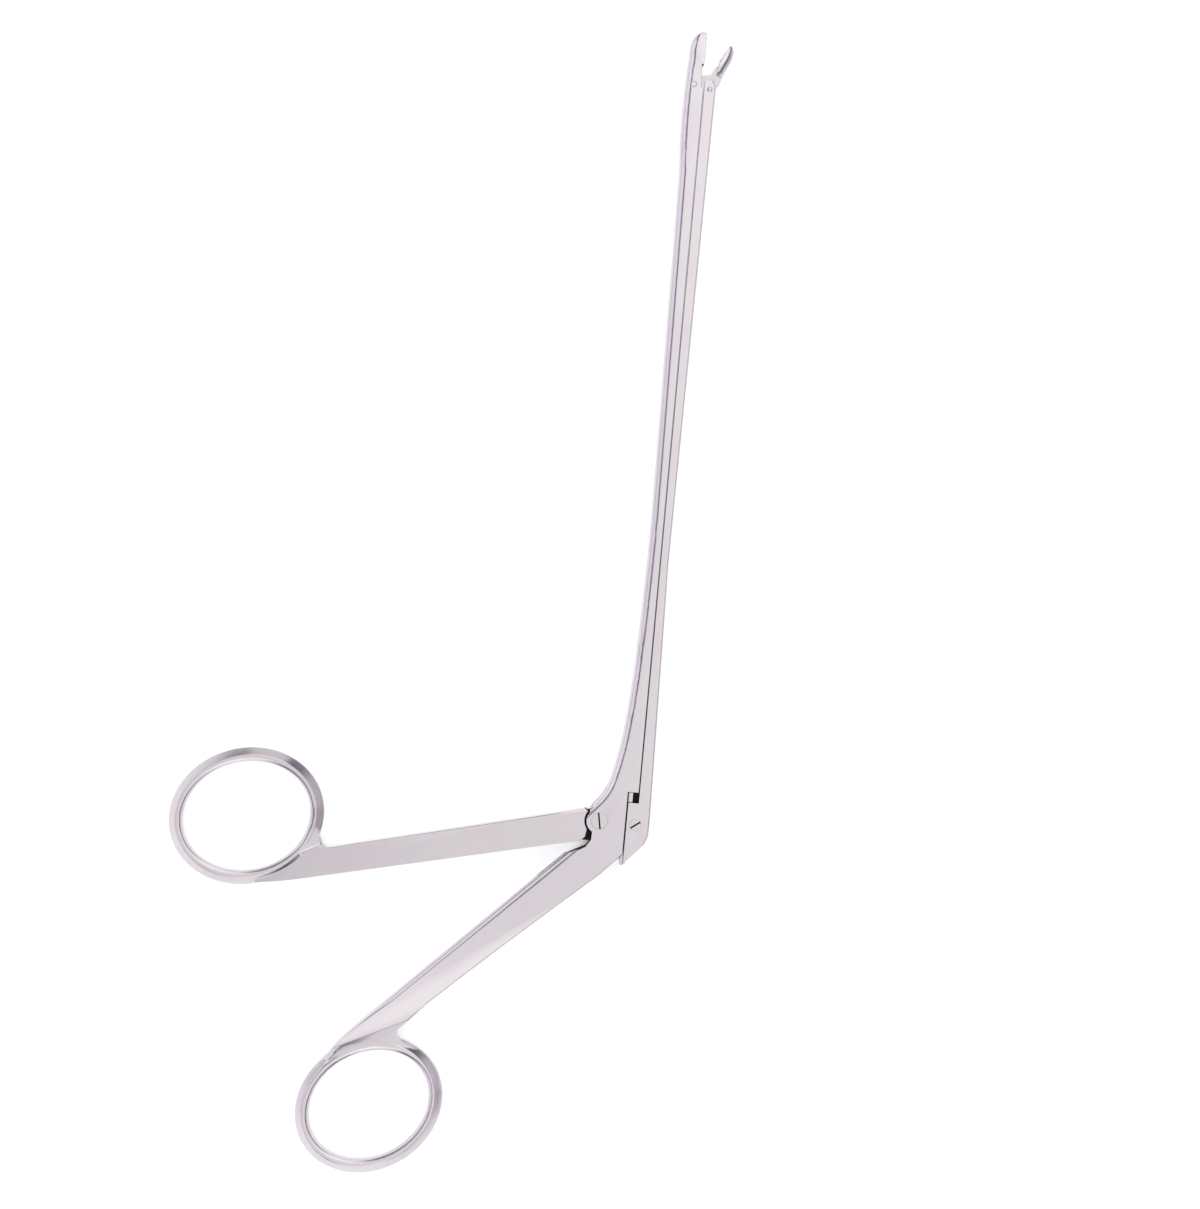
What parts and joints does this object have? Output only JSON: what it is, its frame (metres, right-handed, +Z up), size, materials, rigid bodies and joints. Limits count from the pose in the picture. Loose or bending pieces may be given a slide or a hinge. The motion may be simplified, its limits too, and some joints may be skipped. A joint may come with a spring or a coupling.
{
  "type": "pituitary rongeur",
  "caption": "Long straight grasping rongeur: squeezing the two ring handles slides the upper shaft and shuts a small cup jaw at the tip.",
  "frame": {"origin": "on the handle pivot's axis, at the flat bottom face the instrument lies on", "axes": "+X along the shaft from the handle pivot to the jaws, +Y from the shaft towards the finger rings, +Z up, square to the flat sides"},
  "size_m": [0.2668, 0.1127, 0.0065],
  "materials": {
    "satin_steel": "satin",
    "slide_steel": "satin",
    "jaw_steel": "polished",
    "pin_steel": "ground flush",
    "screw_steel": "satin"
  },
  "bodies": {
    "frame": {"fixed_shaft": "satin_steel", "jaw_pivot_pin": "pin_steel", "handle_pivot_screw": "screw_steel"},
    "slide": {"sliding_shaft": "slide_steel", "drive_screw": "screw_steel", "jaw_link_pin": "pin_steel"},
    "jaw": {"moving_jaw": "jaw_steel"},
    "lever": {"finger_lever": "satin_steel"}
  },
  "joints": [
    {"name": "handle_squeeze", "type": "hinge", "parent": "frame", "child": "lever", "pos_m": [0, 0, 0.00325], "axis": [0, 0, 1], "range_deg": [0, 12.9]},
    {"name": "slide_travel", "type": "slide", "parent": "frame", "child": "slide", "axis": [1, 0, 0], "range_m": [0, 0.00189]},
    {"name": "jaw_close", "type": "hinge", "parent": "frame", "child": "jaw", "pos_m": [0.16984, -0.0061, 0.00325], "axis": [0, 0, 1], "range_deg": [0, 28.01]}
  ],
  "couplings": [
    {"joint": "slide_travel", "follows": "handle_squeeze", "m_per_rad": 0.0083813},
    {"joint": "jaw_close", "follows": "handle_squeeze", "ratio": 2.1706}
  ]
}
